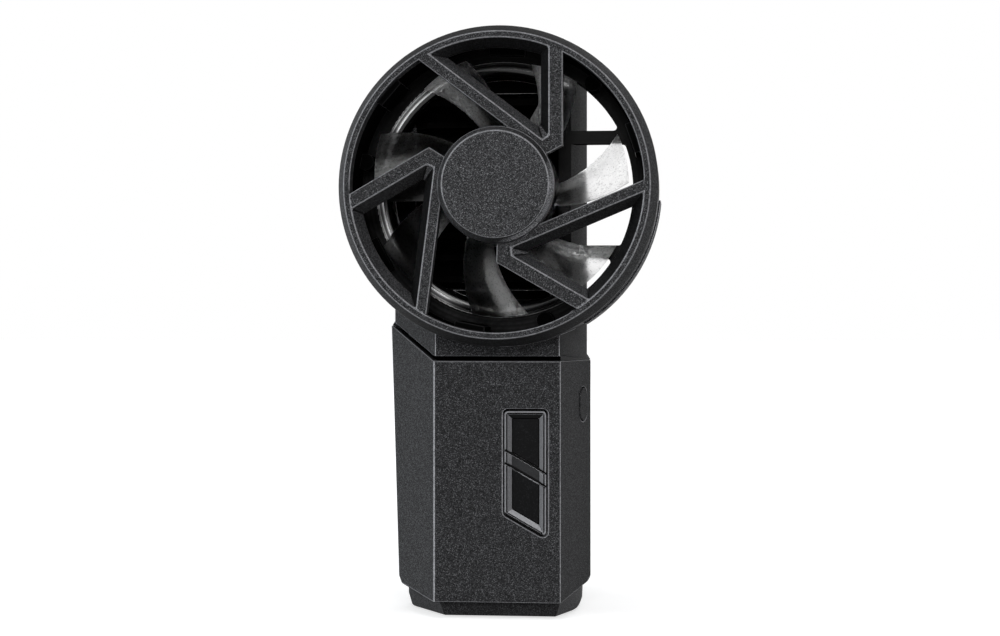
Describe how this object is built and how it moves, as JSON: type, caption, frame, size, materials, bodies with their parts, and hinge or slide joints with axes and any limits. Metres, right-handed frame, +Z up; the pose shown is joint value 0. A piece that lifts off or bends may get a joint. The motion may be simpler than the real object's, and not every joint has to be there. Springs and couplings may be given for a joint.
{
  "type": "phone cooling fan",
  "caption": "Clip-on phone cooling fan: round fan head with spoked grille on a faceted body, cold plate behind, sprung lower jaw that clamps across a phone.",
  "frame": {"origin": "on the fan axis, in the plane of the cold plate's outer face, where a phone's back rests", "axes": "+Z up along the body, +Y back towards the phone, +X right seen from the front"},
  "size_m": [0.0423, 0.0342, 0.0781],
  "materials": {
    "shell_black": "fine grained black moulding",
    "rim_black": "satin black moulding",
    "gloss_black": "polished black moulding",
    "lens_black": "clear gloss, dark",
    "smoke": "smoke grey, slightly see-through",
    "fin_black": "black anodised",
    "plate": "brushed",
    "ceramic_white": "matt",
    "foam": "closed cell foam",
    "pad_rubber": "matt rubber",
    "board_green": "circuit board",
    "led": "clear",
    "switch_black": "plain",
    "steel": "bright",
    "bronze": "plain",
    "copper": "enamelled copper wire",
    "ferrite": "matt"
  },
  "bodies": {
    "housing": {"front_grille": "shell_black", "hub_cap": "shell_black", "fan_housing": "shell_black", "front_cover": "shell_black", "back_cover": "shell_black", "upper_jaw": "shell_black", "indicator_bezel": "rim_black", "motor_frame": "gloss_black", "upper_indicator_lens": "lens_black", "lower_indicator_lens": "lens_black", "heat_sink": "fin_black", "cold_plate": "plate", "peltier_module": "ceramic_white", "foam_gasket": "foam", "upper_jaw_pad": "pad_rubber", "control_board": "board_green", "button_board": "board_green", "power_board": "board_green", "motor_board": "board_green", "indicator_leds": "led", "tact_switch": "switch_black", "stator_core": "steel", "return_springs": "steel", "charging_socket": "steel", "board_screws": "steel", "jaw_screws": "steel", "cover_screws": "steel", "shaft_bearing": "bronze", "rod_bushes": "bronze", "stator_coils": "copper"},
    "fan_rotor": {"impeller": "smoke", "rotor_yoke": "steel", "rotor_magnet": "ferrite", "rotor_shaft": "steel", "retaining_clip": "steel"},
    "clamp_jaw": {"lower_jaw": "shell_black", "lower_jaw_pad": "pad_rubber", "guide_rods": "steel", "rod_clips": "steel"},
    "button": {"power_button": "shell_black"}
  },
  "joints": [
    {"name": "rotor_spin", "type": "hinge", "parent": "housing", "child": "fan_rotor", "pos_m": [0, -0.016, 0], "axis": [0, 1, 0], "continuous": true},
    {"name": "jaw_slide", "type": "slide", "parent": "housing", "child": "clamp_jaw", "axis": [0, 0, -1], "range_m": [0, 0.02], "stiffness_N_per_m": 120, "springref_m": -0.02, "deforming": ["return_springs"]},
    {"name": "button_press", "type": "slide", "parent": "housing", "child": "button", "axis": [-0.9416, 0.3367, 0], "range_m": [0, 0.00025], "stiffness_N_per_m": 2000, "springref_m": -0.0002}
  ]
}
